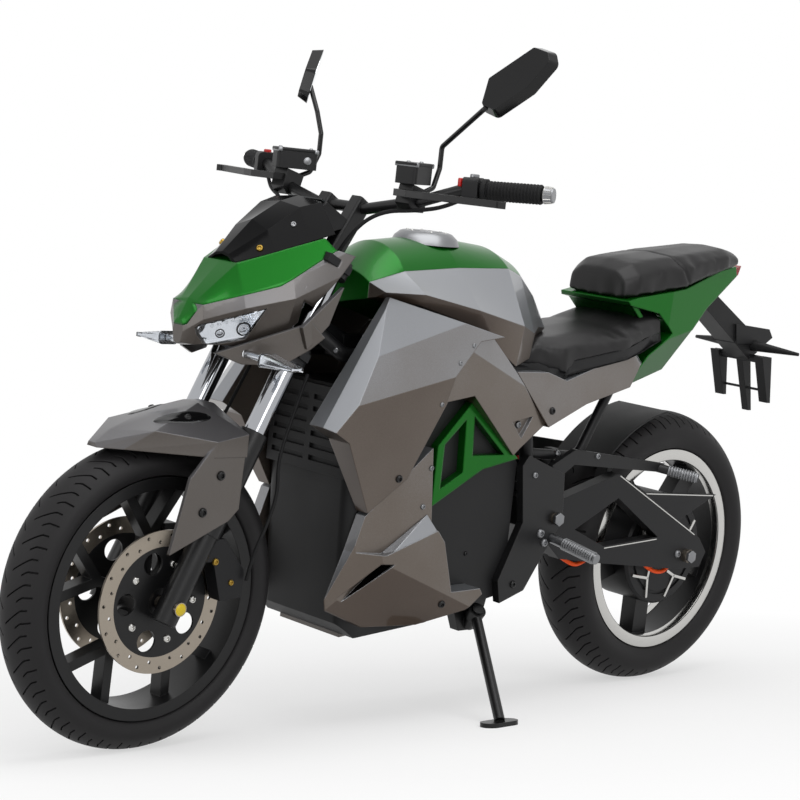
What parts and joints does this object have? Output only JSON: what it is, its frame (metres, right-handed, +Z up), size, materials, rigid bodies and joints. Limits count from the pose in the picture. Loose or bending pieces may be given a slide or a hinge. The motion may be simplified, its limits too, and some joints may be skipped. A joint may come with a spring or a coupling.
{
  "type": "electric street motorcycle",
  "caption": "Naked electric motorcycle with faceted fairings, fork-mounted headlight, hub-motor rear wheel and stepped seats, parked on its side stand.",
  "frame": {"origin": "under the middle of the parked machine's bounding box, on the ground", "axes": "+X forward, +Y to the rider's left, +Z up from the ground; the machine leans to +Y on its stand"},
  "size_m": [2.079, 0.886, 1.3659],
  "materials": {
    "grey_paint": "metallic gunmetal, glossy",
    "green_paint": "metallic candy green, glossy",
    "black_metal": "satin black",
    "black_plastic": "fine grained black",
    "tyre": "matt black",
    "steel": "ground",
    "chrome": "polished",
    "aluminium": "machined",
    "grip_rubber": "ribbed, matt",
    "seat_cover": "smooth black vinyl",
    "smoked_plastic": "smoked, glossy",
    "clear_lens": "clear moulded",
    "red_lens": "moulded red"
  },
  "bodies": {
    "front_wheel": {"front_tyre": "tyre", "front_rim": "black_metal", "front_discs": "steel", "disc_carriers": "black_metal"},
    "rear_wheel": {"rear_tyre": "tyre", "rear_rim": "black_metal", "hub_motor": "black_metal", "rear_disc": "steel"},
    "steering": {"front_axle": "steel", "fork_lowers": "black_metal", "fork_tubes": "chrome", "triple_clamps": "black_metal", "handlebar": "black_metal", "grips": "grip_rubber", "bar_ends": "aluminium", "switchgear": "black_plastic", "brake_levers": "black_metal", "brake_reservoirs": "black_plastic", "mirrors": "black_plastic", "headlight_shell": "grey_paint", "headlight_brow": "green_paint", "headlamp_lenses": "clear_lens", "cowl_winglets": "grey_paint", "bar_perches": "black_metal", "windscreen": "smoked_plastic", "dash": "black_plastic", "front_indicators": "clear_lens", "front_fender": "grey_paint", "front_calipers": "black_metal"},
    "stand": {"side_stand": "black_metal"},
    "chassis": {"lower_fairings": "grey_paint", "shrouds": "grey_paint", "side_covers": "grey_paint", "tank_sides": "grey_paint", "seat_side_panels": "grey_paint", "skid_plate": "grey_paint", "trim_triangles": "green_paint", "tank_cover": "green_paint", "tail_fairing": "green_paint", "main_frame": "black_metal", "pivot_plates": "black_metal", "swingarm": "black_metal", "stand_bracket": "black_metal", "rear_caliper": "black_metal", "rear_hugger": "black_plastic", "battery_box": "black_plastic", "front_grille": "black_plastic", "plate_bracket": "black_plastic", "rear_axle": "steel", "swingarm_pivot": "steel", "rear_shock": "steel", "rider_pegs": "aluminium", "pillion_pegs": "aluminium", "charge_cap": "aluminium", "rider_seat": "seat_cover", "pillion_seat": "seat_cover", "rear_indicators": "clear_lens", "tail_light": "red_lens"}
  },
  "joints": [
    {"name": "steering", "type": "hinge", "parent": "chassis", "child": "steering", "pos_m": [0.45202, -0.04512, 0.80788], "axis": [-0.4384, 0.1406, 0.8877], "range_deg": [-30, 30]},
    {"name": "front_wheel_spin", "type": "hinge", "parent": "steering", "child": "front_wheel", "pos_m": [0.7465, -0.12708, 0.2904], "axis": [0, 0.9877, -0.1564], "continuous": true},
    {"name": "rear_wheel_spin", "type": "hinge", "parent": "chassis", "child": "rear_wheel", "pos_m": [-0.6935, -0.1238, 0.31114], "axis": [0, 0.9877, -0.1564], "continuous": true},
    {"name": "stand_fold", "type": "hinge", "parent": "chassis", "child": "stand", "pos_m": [-0.0355, -0.02102, 0.20576], "axis": [0.2076, 0.7434, 0.6358], "range_deg": [0, 100]}
  ]
}
